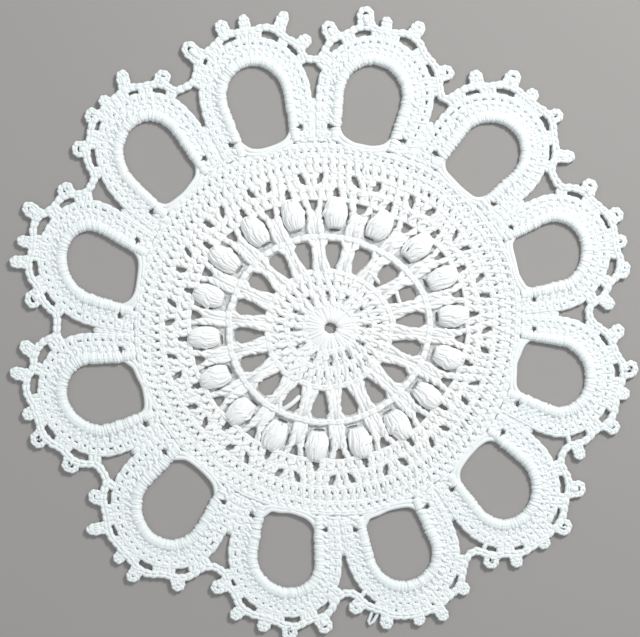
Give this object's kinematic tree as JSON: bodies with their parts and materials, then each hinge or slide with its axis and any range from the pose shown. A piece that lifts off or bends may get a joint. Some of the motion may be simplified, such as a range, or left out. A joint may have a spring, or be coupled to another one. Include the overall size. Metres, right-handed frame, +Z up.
{
  "type": "crocheted lace doily",
  "caption": "Round crocheted cotton doily lying flat, with a spoked centre, a round of raised popcorns and a rim of open arched petals with picot edging.",
  "frame": {"origin": "on the table, under the middle of the cloth's width and depth", "axes": "+Z up, away from the table, through the cloth's thickness; +Y along the gap between the first and the last petal"},
  "size_m": [0.2352, 0.2368, 0.0046],
  "materials": {
    "white_cotton": "matte crochet cotton, white, plied thread about 1 mm thick"
  },
  "bodies": {
    "root": {"doily": "white_cotton"}
  },
  "joints": []
}
